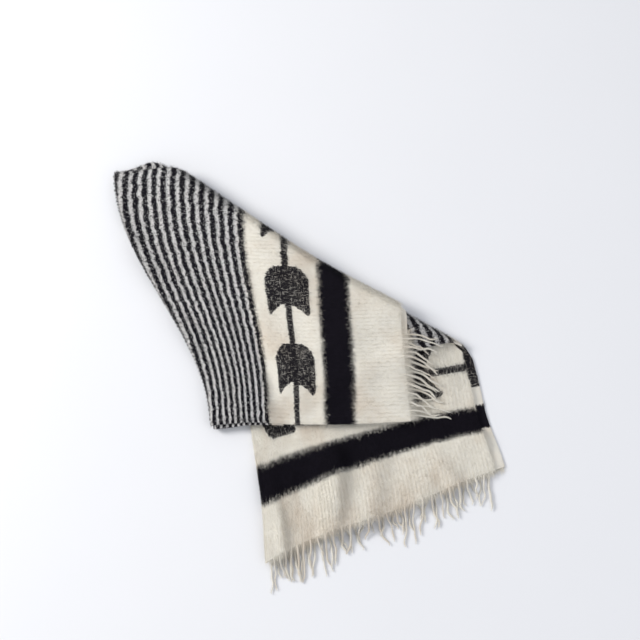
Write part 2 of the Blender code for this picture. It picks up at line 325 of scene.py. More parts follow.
def uneven(points):
    """Flat points with the cloth's edges wandering a little, as a hand loom leaves them."""
    moved = points.copy()
    sideways = EDGE_WANDER * np.sin(2 * math.pi * points[:, 0] / SIDE_WAVE + SIDE_START)
    moved[:, 0] += EDGE_WANDER * np.sin(2 * math.pi * points[:, 1] / END_WAVE + END_START)
    moved[:, 1] += sideways * (points[:, 1] / WIDTH * 2 - 1)
    return moved


def leaned(points):
    """The folded stack with its outline wandering, leaning in at the lower left, and its lower panel
    swung and slid to the right."""
    wave = 2 * math.pi / STACK_WAVE
    leftness = smooth((points[:, 0] - LEAN_FROM_X) / (LEAN_TO_X - LEAN_FROM_X))
    lowness = 1 - smooth(points[:, 1] / FOLDS[half].y)
    swung = smooth((points[:, 1] - SWING_FROM_Y) / (SWING_TO_Y - SWING_FROM_Y))
    moved = points.copy()
    moved[:, 0] += STACK_WANDER * np.sin(wave * points[:, 1] + STACK_START_X)
    moved[:, 0] += LEAN * leftness * lowness + SLIDE * swung
    moved[:, 1] += STACK_WANDER * np.sin(wave * points[:, 0] + STACK_START_Y)
    moved[:, 1] += SWING * swung * (points[:, 0] - SWING_ABOUT)
    return moved


def lay(points, level=0.0):
    """Where flat points lie at the end. A level of 1 leaves out the ripples, as for a strand that lies
    on the floor."""
    points = np.array(points, float)
    for index in range(len(FOLDS)):
        points = fold_under(points, index)
    share = shares(points)
    lift = ridges(points, RIPPLES, share) + ridges(points, CREASES, share)
    lift += puckers(points) * np.maximum(share["top"], share["lower"])
    height = settled(points) + lift * (1 - level)
    points = leaned(points)
    points[:, 2] = height
    points[:, :2] += SHIFT
    return points


SHIFT = np.zeros(2)
cloth_low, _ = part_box("blanket")
grid = np.meshgrid(np.linspace(-LENGTH, 0, 500), np.linspace(0, WIDTH, 400), (0, THICK))
laid = lay(uneven(np.stack(grid, axis=-1).reshape(-1, 3)))
SHIFT = np.array([cloth_low.x, cloth_low.y]) - laid[:, :2].min(axis=0)
print("the frame's shift:", SHIFT.round(4), "top:", laid[:, 2].max().round(4))

# %% [markdown]
# ## Cutting the flat sheet along its folds
#
# A bend looks round only if the mesh has rows of points along it, at every flat of the bend. Bisecting the
# flat sheet there gives just that, and costs nothing elsewhere. Cloth that was folded before has the later
# folds on it twice, mirrored, so each plane is carried back through the earlier folds for each part.

# %% Bisecting along each bend


def facets(points, count):
    """Which side of each of the first folds flat points come to lie, as one number, and their places."""
    key, places = np.zeros(len(points), int), points.copy()
    for index in range(count):
        over = beyond(places, index) > bend_length(index) / 2
        places = np.where(over[:, None], mirrored(places, index), places)
        key = key * 2 + over
    return key, places


def unfolded(spot, normal, key, count):
    """A place and a direction on the folded stack, carried back to the flat cloth."""
    for index in reversed(range(count)):
        if key & 1:
            across = edge_normal(FOLDS[index])
            spot = mirrored(spot[None], index)[0]
            normal = normal - 2 * (normal @ across) * across
        key >>= 1
    return spot, normal


def cut_along_folds(bm):
    """Cuts the flat sheet along the flats of every bend."""
    for index, fold in enumerate(FOLDS):
        for key in range(2 ** index):
            for step in range(fold.steps + 1):
                depth = bend_length(index) * step / fold.steps
                faces = list(bm.faces)
                centres = np.array([f.calc_center_median()[:2] for f in faces])
                keys, places = facets(centres, index)
                near = (keys == key) & (abs(beyond(places, index) - depth) < CUT_REACH)
                band = [faces[i] for i in np.flatnonzero(near)]
                spot = np.array([fold.x, fold.y]) + edge_normal(fold) * depth
                spot, normal = unfolded(spot, edge_normal(fold), key, index)
                geometry = {e for f in band for e in f.edges} | {v for f in band for v in f.verts}
                bmesh.ops.bisect_plane(
                    bm, geom=band + list(geometry), dist=1e-5,
                    plane_co=(*spot, 0), plane_no=(*normal, 0),
                )


CELL = 0.0092
CUT_REACH = 4 * CELL
bm = bmesh.new()
bmesh.ops.create_grid(bm, x_segments=round(LENGTH / CELL), y_segments=round(WIDTH / CELL), size=0.5)
bmesh.ops.scale(bm, vec=(LENGTH + 2 * STRIP, WIDTH, 1), verts=bm.verts)
bmesh.ops.translate(bm, vec=(-LENGTH / 2, WIDTH / 2, 0), verts=bm.verts)
wandering = uneven(np.array([v.co for v in bm.verts]))
for vert, place in zip(bm.verts, wandering):
    vert.co = place
cut_along_folds(bm)
print("flat cells after the cuts:", len(bm.faces))

# %% [markdown]
# ## Thickness, soft edges and the folds
#
# The sheet is extruded to its true thickness, and the sharp rim is bevelled, because wool has no hard
# corner anywhere. Only then is every point laid through the folds, so inner and outer faces of a bend keep
# their distance. The flat place of each point is kept as an attribute called "flat": the dye pattern
# reads it, and so follows the cloth round every fold.

# %% The folded cloth
EDGE_SOFTNESS = 0.0016


def thicken(bm):
    """Gives the flat sheet its thickness and a soft rim."""
    raised = bmesh.ops.extrude_face_region(bm, geom=bm.faces[:])
    upper = [v for v in raised["geom"] if isinstance(v, bmesh.types.BMVert)]
    bmesh.ops.translate(bm, vec=(0, 0, THICK), verts=upper)
    bmesh.ops.recalc_face_normals(bm, faces=bm.faces)
    rims = [
        e for e in bm.edges
        if abs(e.verts[0].co.z - e.verts[1].co.z) < 1e-6
        and any(abs(f.normal.z) < 0.5 for f in e.link_faces)
    ]
    bmesh.ops.bevel(
        bm, geom=rims, offset=EDGE_SOFTNESS, offset_type="OFFSET",
        segments=2, profile=0.5, affect="EDGES", material=-1,
    )


def named_mesh(name, bm):
    """The bmesh as a mesh, shaded smooth."""
    mesh = bpy.data.meshes.new(name)
    bm.to_mesh(mesh)
    bm.free()
    mesh.shade_smooth()
    return mesh


def placed(name, mesh):
    """The mesh as an object of the scene, at the origin."""
    thing = bpy.data.objects.new(name, mesh)
    bpy.context.scene.collection.objects.link(thing)
    return thing


def keep_flat(mesh, flat):
    """Keeps each point's flat place on the mesh as an attribute."""
    attribute = mesh.attributes.new("flat", "FLOAT_VECTOR", "POINT")
    attribute.data.foreach_set("vector", flat.astype(np.float32).ravel())


thicken(bm)
cloth_mesh = named_mesh("woven_cloth", bm)
cloth_flat = np.array([v.co for v in cloth_mesh.vertices])
cloth_laid = lay(cloth_flat)
cloth_mesh.vertices.foreach_set("co", cloth_laid.astype(np.float32).ravel())
cloth_mesh.update()
keep_flat(cloth_mesh, cloth_flat)
cloth = placed("woven_cloth", cloth_mesh)
print("cloth faces:", len(cloth_mesh.polygons), "height:", cloth_laid[:, 2].max().round(4))

# %% [markdown]
# ## A small kit for materials
#
# Node trees get long, so each helper below adds a node or two and returns an output. With them a formula
# for a stripe reads like a formula. Numbers that are the same all over stay on the shader's own sockets.

# %% Helpers for node trees


def set_sockets(node, values):
    """Sets sockets of a node to plain values."""
    for socket, value in values.items():
        node.inputs[socket].default_value = value


class Tree:
    """A material's node tree, with one short method for each kind of node that we use."""

    def __init__(self, name):
        self.material = bpy.data.materials.new(name)
        self.material.use_nodes = True
        self.nodes = self.material.node_tree.nodes
        self.links = self.material.node_tree.links
        self.shader = self.nodes["Principled BSDF"]

    def put(self, sockets, *values):
        """Sets each socket to a number, or links it to another node's output."""
        for socket, value in zip(sockets, values):
            if isinstance(value, bpy.types.NodeSocket):
                self.links.new(value, socket)
            else:
                socket.default_value = value

    def math(self, operation, a, b=0.0, c=0.0):
        """One step of arithmetic."""
        node = self.nodes.new("ShaderNodeMath")
        node.operation = operation
        self.put(node.inputs, a, b, c)
        return node.outputs[0]

    def times(self, a, b):
        """a times b."""
        return self.math("MULTIPLY", a, b)

    def minus(self, a, b):
        """a less b."""
        return self.math("SUBTRACT", a, b)

    def flat(self):
        """The flat x and y of the place that is being shaded."""
        node = self.nodes.new("ShaderNodeAttribute")
        node.attribute_name = "flat"
        parts = self.nodes.new("ShaderNodeSeparateXYZ")
        self.links.new(node.outputs["Vector"], parts.inputs[0])
        return parts.outputs[0], parts.outputs[1]

    def stretched(self, x, y, times_x, times_y):
        """A flat place as a vector, scaled differently in x and y."""
        node = self.nodes.new("ShaderNodeCombineXYZ")
        self.put(node.inputs, self.times(x, times_x), self.times(y, times_y))
        return node.outputs[0]

    def noise(self, vector, scale=1.0, detail=2.0, roughness=0.5):
        """Noise between 0 and 1, with 0.5 in the middle."""
        node = self.nodes.new("ShaderNodeTexNoise")
        set_sockets(node, {"Scale": scale, "Detail": detail, "Roughness": roughness})
        self.links.new(vector, node.inputs["Vector"])
        return node.outputs[0]

    def ease(self, value, low, high):
        """0 below low, 1 above high, and eased between."""
        node = self.nodes.new("ShaderNodeMapRange")
        node.interpolation_type = "SMOOTHSTEP"
        self.put(node.inputs, value, low, high)
        return node.outputs[0]

    def rise(self, value, low, high, most):
        """0 below low, the most above high, and eased between."""
        return self.times(self.ease(value, low, high), most)

    def ramp(self, value, stops):
        """A piecewise straight curve through (place, level) stops, all between 0 and 1."""
        node = self.nodes.new("ShaderNodeValToRGB")
        elements = node.color_ramp.elements
        while len(elements) < len(stops):
            elements.new(1.0)
        for element, (where, level) in zip(elements, stops):
            element.position = where
            element.color = (level, level, level, 1)
        self.links.new(value, node.inputs[0])
        return self.times(node.outputs[0], 1.0)

    def mix(self, share, a, b):
        """A colour between a and b."""
        node = self.nodes.new("ShaderNodeMix")
        node.data_type = "RGBA"
        colours = [c if isinstance(c, bpy.types.NodeSocket) else (*c, 1) for c in (a, b)]
        self.put((node.inputs["Factor"], node.inputs[6], node.inputs[7]), share, *colours)
        return node.outputs[2]

    def bump(self, height, distance, strength=1.0):
        """Sets the shader's normal from a height between 0 and 1."""
        node = self.nodes.new("ShaderNodeBump")
        set_sockets(node, {"Distance": distance, "Strength": strength})
        self.links.new(height, node.inputs["Height"])
        self.links.new(node.outputs[0], self.shader.inputs["Normal"])


# %% [markdown]
# ## The dye pattern
#
# From each end the cloth runs through the same bands: natural cream, a black band, a cream ground with a
# column of arrows on a stem, and then narrow black and white stripes over the whole middle. The yarn is
# dyed before it is woven and the cloth is brushed afterwards, so no border is a line: black fibres reach
# a centimetre into the cream. We get that by moving each border to and fro with a noise that is
# fine across the fibres and long beside them.

# %% Where the bands are, measured from the nearer end
CREAM_END = 0.125
BLACK_BAND = 0.191
ARROW_GROUND = 0.383
STRIPE = 0.0242
BLACK_SHARE = 0.62
STEM = 0.2790
STEM_HALF = 0.0088
ARROW_PITCH = 0.192
ARROW_SHIFT = 0.196

# Woven by hand, the arrows at the far end lie a little off those at the near end
FAR_STEM_SHIFT = 0.017
FAR_ARROW_SHIFT = 0.008

# How softly each kind of border changes colour
BAND_EDGE, ARROW_EDGE, STRIPE_EDGE = 0.0015, 0.0016, 0.10
GROUND_EDGE, MIDDLE_EDGE, SIDE_EDGE = 0.002, 0.001, 0.004

# Half the arrow's width, and half the width of the notch under it, over the pitch, from its top down
ARROW_SIDES = (
    (0, 0), (0.008, 0.032), (0.035, 0.035), (0.045, 0.043), (0.080, 0.046), (0.095, 0.053),
    (0.150, 0.056), (0.170, 0.060), (0.560, 0.060), (0.620, 0.059), (0.655, 0.051), (0.665, 0),
)
ARROW_NOTCH = (
    (0, 0), (0.520, 0), (0.530, 0.021), (0.565, 0.027), (0.575, 0.035), (0.660, 0.053),
)
NOTCH_SLANT = 0.030

# How long the clumps of each noise are across the bands and along them, its detail and its roughness
NOISES = (
    (0.0140, 0.0032, 3.0, 0.75),  # hair
    (0.0600, 0.0180, 2.0, 0.60),  # drift
    (0.0080, 0.0075, 2.0, 0.70),  # lumps
    (0.0034, 0.0034, 1.0, 0.60),  # grain
    (0.0130, 0.0030, 1.0, 0.60),  # warp
    (0.0030, 0.0130, 1.0, 0.60),  # weft
    (0.0300, 0.0400, 1.0, 0.60),  # patches
)
CONTRAST = 5.0

# How dark arrows and stems are, and where pale threads and flecks start and are full, with their strength
ARROW_DARK, STEM_DARK = 0.99, 0.985
STEM_THREADS, WHITE_FLECKS, DARK_FLECKS = (0.2, 0.9, 0.25), (0.40, 1.10, 0.40), (-0.05, -0.90, 0.74)
print("stripes from the arrows to the middle:", round((LENGTH / 2 - ARROW_GROUND) / STRIPE, 1))

# %% Noise and arrows


def clumps(tree, x, y, across_bands, along_bands, detail, roughness):
    """Noise of about -1 to 1, with clumps that long across the bands and along them."""
    place = tree.stretched(x, y, 1 / across_bands, 1 / along_bands)
    centred = tree.minus(tree.noise(place, detail=detail, roughness=roughness), 0.5)
    return tree.times(centred, CONTRAST)


def total(tree, *terms):
    """The sum of terms, where each is an output or a pair of an output and its factor."""
    result = None
    for term in terms:
        if isinstance(term, tuple):
            term = tree.times(*term)
        result = term if result is None else tree.math("ADD", result, term)
    return result


def arrows(tree, e, y, hair):
    """How much of the place belongs to an arrow, how much to the stem, and on which side it is."""
    u = tree.minus(e, STEM)
    down = tree.math("WRAP", tree.times(tree.minus(ARROW_SHIFT, y), 1 / ARROW_PITCH), 1.0, 0.0)
    side = tree.math("ADD", tree.math("ABSOLUTE", u), hair)
    right = tree.ease(u, -SIDE_EDGE, SIDE_EDGE)
    outer = tree.ramp(down, ARROW_SIDES)
    inner = tree.ramp(total(tree, down, (right, NOTCH_SLANT)), ARROW_NOTCH)
    inside = tree.ease(tree.minus(outer, side), -ARROW_EDGE, ARROW_EDGE)
    past_notch = tree.ease(tree.minus(side, inner), -ARROW_EDGE, ARROW_EDGE)
    body = tree.times(inside, past_notch)
    stem = tree.ease(tree.minus(STEM_HALF, side), -ARROW_EDGE, ARROW_EDGE)
    return body, stem, right


# %% The whole pattern as one value


def dye(tree):
    """How dark each place of the cloth is dyed, from 0 for natural cream to 1 for black."""
    x, y = tree.flat()
    along = tree.math("ABSOLUTE", x)
    e = tree.math("MINIMUM", along, tree.minus(LENGTH, along))
    hair, drift, lumps, grain, warp, weft, patches = (clumps(tree, x, y, *noise) for noise in NOISES)

    loose = total(tree, e, (drift, 0.0016), (hair, 0.0048))
    into_black = tree.ease(loose, CREAM_END - BAND_EDGE, CREAM_END + BAND_EDGE)
    out_of_black = tree.ease(loose, BLACK_BAND - BAND_EDGE, BLACK_BAND + BAND_EDGE)
    band = tree.minus(into_black, out_of_black)

    tight = total(tree, e, (drift, 0.0010), (hair, 0.0015))
    far = tree.math("GREATER_THAN", along, LENGTH / 2)
    body, stem, right = arrows(tree, total(tree, tight, (far, -FAR_STEM_SHIFT)),
                               total(tree, y, (lumps, 0.0020), (far, FAR_ARROW_SHIFT)),
                               tree.times(hair, 0.0018))
    pale_threads = tree.math("MAXIMUM", tree.ease(warp, 0.30, 1.00), tree.ease(weft, 0.30, 1.00))
    pale_threads = total(tree, (pale_threads, 0.36), (patches, 0.04), (right, -0.03), (grain, 0.04))
    heather = tree.minus(ARROW_DARK, tree.math("MAXIMUM", pale_threads, 0.0))
    stem_dark = tree.minus(STEM_DARK, tree.rise(warp, *STEM_THREADS))
    arrow = tree.math("MAXIMUM", tree.times(body, heather), tree.times(stem, stem_dark))
    into_ground = tree.ease(tight, BLACK_BAND - GROUND_EDGE, BLACK_BAND)
    hairy = total(tree, e, (drift, 0.0012), (hair, 0.0034))
    into_stripes = tree.ease(hairy, ARROW_GROUND - MIDDLE_EDGE, ARROW_GROUND + MIDDLE_EDGE)
    arrow = tree.times(arrow, tree.minus(into_ground, into_stripes))

    wobbly = total(tree, e, (drift, 0.0028), (lumps, 0.0017), (hair, 0.0010))
    phase = tree.math("FRACT", tree.times(tree.minus(wobbly, ARROW_GROUND), 1 / STRIPE))
    black_half = BLACK_SHARE / 2
    middle = tree.math("ABSOLUTE", tree.minus(phase, black_half))
    middle = tree.math("MINIMUM", middle, tree.minus(1.0, middle))
    middle = total(tree, middle, (grain, 0.075))
    stripe = tree.ease(middle, black_half + STRIPE_EDGE, black_half - STRIPE_EDGE)
    speckle = total(tree, lumps, (grain, 0.8))
    stripe = tree.times(stripe, tree.minus(1.0, tree.rise(speckle, *WHITE_FLECKS)))
    stripe = tree.math("MAXIMUM", stripe, tree.rise(speckle, *DARK_FLECKS))
    stripes = tree.times(into_stripes, stripe)
    dark = tree.math("MAXIMUM", tree.math("MAXIMUM", band, arrow), stripes)
    return dark, x, y, e


# %% [markdown]
# ## Wool
#
# Natural cream wool is never one colour. It has warm and rosy clouds as large as a hand, and fine flecks.
# Dyed black wool shows a little blue or violet where the light grazes it. Brushed wool has no gloss, but a
# sheen at the silhouette. One function builds the finish, for the cloth and for its fibres.

# %% The wool finish
CREAM = (0.80, 0.765, 0.68)
WARM_CREAM = (0.70, 0.63, 0.53)
COOL_WHITE = (0.66, 0.66, 0.67)
STRIPE_WHITE = (0.56, 0.555, 0.56)
BLACK = (0.0040, 0.0034, 0.0060)
SOFT_BLACK = (0.015, 0.012, 0.019)
FLECK = (0.30, 0.24, 0.19)
FINISH = {"Roughness": 0.92, "Specular IOR Level": 0.08, "Sheen Weight": 0.06, "Sheen Roughness": 0.45}
NAP_DEPTH, NAP_STRENGTH = 0.0016, 0.8

# How often each texture repeats in a metre of flat x and y
CLOUDS, STRANDS, FLECKS, NAP = (7, 9), (55, 620), (130, 210), (130, 780)

# Where the tint of each starts and is full, and its strength
CLOUD_TINT, STRAND_TINT, FLECK_TINT = (0.42, 0.72, 1.0), (0.50, 0.80, 0.35), (0.735, 0.80, 0.55)
STRIPE_TINT, BLACK_TINT = 0.80, 0.5


def wool(name, dyed):
    """A brushed wool finish. The dyed one follows the bands and arrows, the other stays cream."""
    tree = Tree(name)
    if dyed:
        dark, x, y, e = dye(tree)
    else:
        x, y = tree.flat()
    clouds = tree.noise(tree.stretched(x, y, *CLOUDS), detail=3.0)
    strands = tree.noise(tree.stretched(x, y, *STRANDS), detail=3.0)
    flecks = tree.noise(tree.stretched(x, y, *FLECKS), detail=1.0)
    base = tree.mix(tree.rise(clouds, *CLOUD_TINT), CREAM, WARM_CREAM)
    base = tree.mix(tree.rise(strands, *STRAND_TINT), base, COOL_WHITE)
    base = tree.mix(tree.rise(flecks, *FLECK_TINT), base, FLECK)
    if dyed:
        in_middle = tree.rise(e, ARROW_GROUND, ARROW_GROUND + STRIPE, STRIPE_TINT)
        base = tree.mix(in_middle, base, STRIPE_WHITE)
        black = tree.mix(tree.times(strands, BLACK_TINT), BLACK, SOFT_BLACK)
        base = tree.mix(dark, base, black)
    tree.put([tree.shader.inputs["Base Color"]], base)
    set_sockets(tree.shader, FINISH)
    nap = tree.noise(tree.stretched(x, y, *NAP), detail=4.0, roughness=0.65)
    tree.bump(nap, NAP_DEPTH, NAP_STRENGTH)
    return tree.material


wool_cloth = wool("brushed_wool", dyed=True)
wool_fibre = wool("wool_fibres", dyed=True)
wool_yarn = wool("wool_yarn", dyed=False)
cloth_mesh.materials.append(wool_cloth)
print("nodes in the cloth's finish:", len(wool_cloth.node_tree.nodes))

# %% [markdown]
# ## Which faces can be seen
#
# Pile is only worth its triangles where light reaches it. A ray from the middle of each face, straight up
# or out to the side from a steep one, says whether another layer covers it.

# %% Faces that are open to the air
CLEAR = 0.0012
NEARLY_LEVEL, LOW_RIM, UPWARD = 0.92, 0.008, 0.25


def open_faces():
    """The faces on the cloth's outer side that have nothing over them, and those that face sideways."""
    flat_z = cloth_flat[:, 2]
    corners = [p.vertices[:] for p in cloth_mesh.polygons]
    tree = BVHTree.FromPolygons([Vector(v) for v in cloth_laid], corners)
    above, aside = [], []
    for face in cloth_mesh.polygons:
        if min(flat_z[i] for i in face.vertices) < THICK / 2:
            continue
        centre, normal = face.center, face.normal
        start = centre + normal * CLEAR
        if tree.ray_cast(start, (0, 0, 1))[0] is None:
            above.append(face.index)
        sideways = (normal.x, normal.y, UPWARD)
        steep = abs(normal.z) < NEARLY_LEVEL and centre.z > LOW_RIM
        if steep and tree.ray_cast(start, sideways)[0] is None:
            aside.append(face.index)
    return above, aside


seen_above, seen_aside = open_faces()
print("faces open to above:", len(seen_above), "and to the sides:", len(seen_aside))

# %% [markdown]
# ## The pile
#
# Hair particles would not survive an export, so each fibre is a tiny ribbon of real geometry: a root, a
# raised middle and a pointed tip. Fibres grow on the flat cloth, mostly along its length, because that is
# how it was brushed, and `lay` then folds them with it. A fibre takes its colour from the flat place of
# its root, which is what makes black hairs lie over cream wool along each band.

# %% Roots on chosen faces
SCATTER = 1.2
MEAN_WEIGHT = 0.33


def roots_on(faces, count):
    """Places spread evenly over the faces, as flat x and y."""
    polygons = [cloth_mesh.polygons[i] for i in faces]
    corners = np.array([p.vertices[:3] for p in polygons])
    areas = np.array([p.area for p in polygons])
    chosen = rng.choice(len(faces), count, p=areas / areas.sum())
    weights = rng.dirichlet((1, 1, 1), count)
    centres = np.array([cloth_flat[list(p.vertices)].mean(axis=0) for p in polygons])[chosen]
    a, b = cloth_flat[corners[chosen, 0]], cloth_flat[corners[chosen, 1]]
    places = (centres + SCATTER * (a - centres) * (weights[:, :1] - MEAN_WEIGHT)
              + SCATTER * (b - centres) * (weights[:, 1:2] - MEAN_WEIGHT))
    return places[:, :2]


def from_end(x):
    """How far flat x is from the nearer end of the cloth."""
    return np.minimum(abs(x), abs(LENGTH + x))


# %% A piece of many fibres
FINE, COARSE = 0.00036, 0.00055
THINNEST, THICKEST, MIDDLE_WIDTH = 0.6, 1.2, 0.8
SHORTEST, SHORTER_ON_STRIPES = 0.35, 0.45
LOWEST, MOSTLY_LOW, TIP_HEIGHT = 0.15, 1.6, 0.45
HEADING_SPREAD, CURL_SPREAD, ROLL_SPREAD = 0.45, 0.5, 1.1
ROOT_SUNK = 0.0004
OFF_THE_FLOOR = 0.0002


def ribbons(root, middle, tip, spread, middle_width=1.0):
    """Points and faces of ribbons, each from a root by way of a middle to a pointed tip."""
    narrow = spread * middle_width
    points = np.stack([root - spread, root + spread, middle + narrow, middle - narrow, tip], axis=1)
    start = np.arange(len(root))[:, None] * 5
    return points.reshape(-1, 3), [*(start + (0, 1, 2, 3)).tolist(), *(start + (3, 2, 4)).tolist()]


def woollen(name, points, faces, flat, finish):
    """A new piece with its points, faces, flat places and finish."""
    mesh = bpy.data.meshes.new(name)
    mesh.from_pydata(points, [], faces)
    keep_flat(mesh, flat)
    mesh.shade_smooth()
    mesh.materials.append(finish)
    return placed(name, mesh)


def fibres(name, roots, longest, highest, width, ways=None):
    """A piece with a fibre on each root. Ways of 0 point to the cloth's near end and ways of 1 to its far
    end. Without ways they go both."""
    count = len(roots)
    stripes = smooth((from_end(roots[:, 0]) - ARROW_GROUND) / 0.01)
    length = longest * rng.uniform(SHORTEST, 1.0, count) * (1 - SHORTER_ON_STRIPES * stripes)
    heading = rng.normal(0, HEADING_SPREAD, count)
    heading += math.pi * (rng.integers(0, 2, count) if ways is None else ways)
    curl = rng.normal(0, CURL_SPREAD, count)
    way, bent = (np.stack([np.cos(a), np.sin(a)], axis=1) for a in (heading, heading + curl))
    roll = rng.uniform(-ROLL_SPREAD, ROLL_SPREAD, count)
    height = highest * rng.uniform(LOWEST, 1.0, count) ** MOSTLY_LOW
    root = np.column_stack([roots, np.full(count, THICK - ROOT_SUNK)])
    step = length[:, None] / 2
    middle = np.column_stack([roots + way * step, THICK + height])
    tip = np.column_stack([middle[:, :2] + bent * step, THICK + height * TIP_HEIGHT])
    spread = np.column_stack([-way[:, 1] * np.cos(roll), way[:, 0] * np.cos(roll), np.sin(roll)])
    spread *= width / 2 * rng.uniform(THINNEST, THICKEST, count)[:, None]
    points, faces = ribbons(root, middle, tip, spread, MIDDLE_WIDTH)
    laid = lay(points)
    laid[:, 2] = np.maximum(laid[:, 2], OFF_THE_FLOOR)
    return woollen(name, laid, faces, np.repeat(root, 5, axis=0), wool_fibre)


# %% Four layers of pile
PANEL_COUNT, SIDE_COUNT, BORDER_TRIES = 62000, 40000, 330000
PILE_LONG, PILE_HIGH, SIDE_HIGH = 0.013, 0.0034, 0.0060
BORDER_LONG, BORDER_HIGH = 0.017, 0.0020
BORDER_HAIRS = 0.008


def in_upper_panel(faces):
    """Splits faces into those nearer the near end of the cloth, and the rest."""
    near = [i for i in faces if cloth_flat[cloth_mesh.polygons[i].vertices[0]][0] > -LENGTH / 2]
    return near, sorted(set(faces) - set(near))


def along_borders(roots):
    """The roots that lie in the dark yarn just inside a border of the black band or of the stripes, and
    for each the way that points out over the pale wool."""
    e = from_end(roots[:, 0])
    to_smaller_e = ((e > CREAM_END) & (e < CREAM_END + BORDER_HAIRS)
                    | (e > ARROW_GROUND) & (e < ARROW_GROUND + BORDER_HAIRS))
    to_larger_e = (e > BLACK_BAND - BORDER_HAIRS) & (e < BLACK_BAND)
    chosen = to_smaller_e | to_larger_e
    near_end = roots[chosen][:, 0] > -LENGTH / 2
    return roots[chosen], (to_smaller_e[chosen] != near_end).astype(int)


upper_faces, lower_faces = in_upper_panel(seen_above)
borders, border_ways = along_borders(roots_on(seen_above, BORDER_TRIES))
pile = [
    fibres("pile_upper", roots_on(upper_faces, PANEL_COUNT), PILE_LONG, PILE_HIGH, FINE),
    fibres("pile_lower", roots_on(lower_faces, PANEL_COUNT), PILE_LONG, PILE_HIGH, FINE),
    fibres("pile_sides", roots_on(seen_aside, SIDE_COUNT), PILE_LONG, SIDE_HIGH, FINE),
    fibres("pile_borders", borders, BORDER_LONG, BORDER_HIGH, COARSE, border_ways),
]
print("hairs along the borders:", len(borders))

# %% [markdown]
# ## The fringe
#
# The warp ends of the cloth are twisted together in twos and left hanging. Each strand is two plies that
# wind round each other along one soft line. The line starts in the weave, passes the edge, comes down to
# what lies below, and ends at its own length. Strands differ in length and direction, as they do once a
# blanket has been used.

# %% The runs of fringe
STRAND = 0.0034
STRAND_PITCH = 0.0215
STRAND_LENGTH = 0.078
STRAND_UNEVEN = 0.24
STRAND_WORN = 0.34
YARN = 0.0060
YARN_UNEVEN = 0.24

Fringe = namedtuple("Fringe", "node near low high turned", defaults=[False])
FRINGES = (
    Fringe("fringe_near_top", near=True, low=0.004, high=0.219),
    Fringe("fringe_near_lower", near=True, low=1.051, high=1.266),
    Fringe("fringe_under_top", near=True, low=0.342, high=0.606, turned=True),
    Fringe("fringe_under_lower", near=True, low=0.648, high=0.932, turned=True),
    Fringe("fringe_far_top", near=False, low=0.004, high=0.606),
    Fringe("fringe_far_lower", near=False, low=0.642, high=1.266),
)


def unlike(number):
    """A value between -1 and 1 for each number, with no pattern that shows."""
    return math.sin(number * number + 2.4 * number)


def strand_places(fringe):
    """The flat y of each strand of a run."""
    fold = FOLDS[half]
    slant = math.tan(math.radians(fold.degrees))
    middle = fold.y + slant * ((0 if fringe.near else -LENGTH) - fold.x) + bend_length(half) / 2
    numbers = range(int(middle / STRAND_PITCH) + 1)
    if fringe.high < FOLDS[half].y:
        places = [(n + 0.25) * STRAND_PITCH for n in numbers]
    else:
        places = [2 * middle - (n + 0.75) * STRAND_PITCH for n in numbers]
    return sorted(y for y in places if fringe.low + STRAND < y < fringe.high - STRAND)


def strand_reach(number):
    """How long one strand is. Some have lost up to a third of their length."""
    worn = 1 - STRAND_WORN * max(0, unlike(number + 7))
    return STRAND_LENGTH * (1 + STRAND_UNEVEN * unlike(number)) * worn


def strand_thickness(number):
    """How thick one strand is at its root."""
    return YARN * (1 + YARN_UNEVEN * unlike(number + 5))


def is_falling(fringe):
    """Whether the run's strands come down from the upper half of the cloth to the lower one."""
    return (fringe.high < FOLDS[half].y) != fringe.turned


print("strands in each run:", [len(strand_places(fringe)) for fringe in FRINGES])

# %% The line that a strand follows
FALL_FROM = 0.018
STRAND_FALL = 0.034
REST_HEIGHT = 0.53
LEAN_ASIDE, LEAN_SHARE, LEAN_POWER = 0.013, 0.6, 1.3
LEAN_WAVE = 0.150
SWEPT_DOWN, SWEEP_POWER = 0.030, 1.5
CURL, WIDE_CURL, TIGHT_CURL = 0.0046, 6.9, 15
OVER_ITS_NEIGHBOUR, OVER_BY = 0.0030, 1.6
ROOT_INSIDE = 0.004


def strand_line(fringe, number, y, rings):
    """The middle line of one strand, laid, and the flat place of its root."""
    outward = 1 if fringe.near else -1
    reach = strand_reach(number)
    out = np.linspace(-ROOT_INSIDE, reach, rings)
    t = np.clip(out / reach, 0, 1)
    folded = fringe.high > FOLDS[half].y
    on_floor = fringe.turned or not fringe.near
    place = WIDTH - y if folded else y
    swing = LEAN_SHARE * math.sin(place * 2 * math.pi / LEAN_WAVE) + LEAN_SHARE * unlike(number + 0.3)
    sway = LEAN_ASIDE * swing * t ** LEAN_POWER
    sway -= 0 if on_floor else SWEPT_DOWN * t ** SWEEP_POWER
    sway += (CURL * np.sin(t * WIDE_CURL + 3 * number) * t
             + CURL / 3 * np.sin(t * TIGHT_CURL + 5 * number) * t)
    sway *= -1 if folded else 1
    fall = smooth((out - FALL_FROM) / STRAND_FALL)
    drop = fall * (THICK + 2 * FOLDS[half].radius) if is_falling(fringe) else 0 * fall
    low_side = YARN / 2 if is_falling(fringe) else THICK - YARN / 2
    low_side = low_side + OVER_ITS_NEIGHBOUR * smooth(t * OVER_BY) * (number % 2)
    start = uneven(np.array([(0.0 if fringe.near else -LENGTH, y, 0.0)]))[0]
    x = start[0] + outward * (STRIP + out)
    points = np.column_stack([x, start[1] + sway, low_side - drop])
    level = smooth(out / STRAND_FALL) if on_floor else np.zeros(rings)
    laid = lay(points, level)
    laid[:, 2] = np.maximum(laid[:, 2], REST_HEIGHT * strand_thickness(number))
    return laid, start


# %% [markdown]
# ## Twist and fuzz
#
# A twist made with a bump wouldn't show at the silhouette, so both plies are thin tubes, half a turn apart
# round the line. Hand-spun wool is never smooth, so short ribbons like those of the pile stand off them.

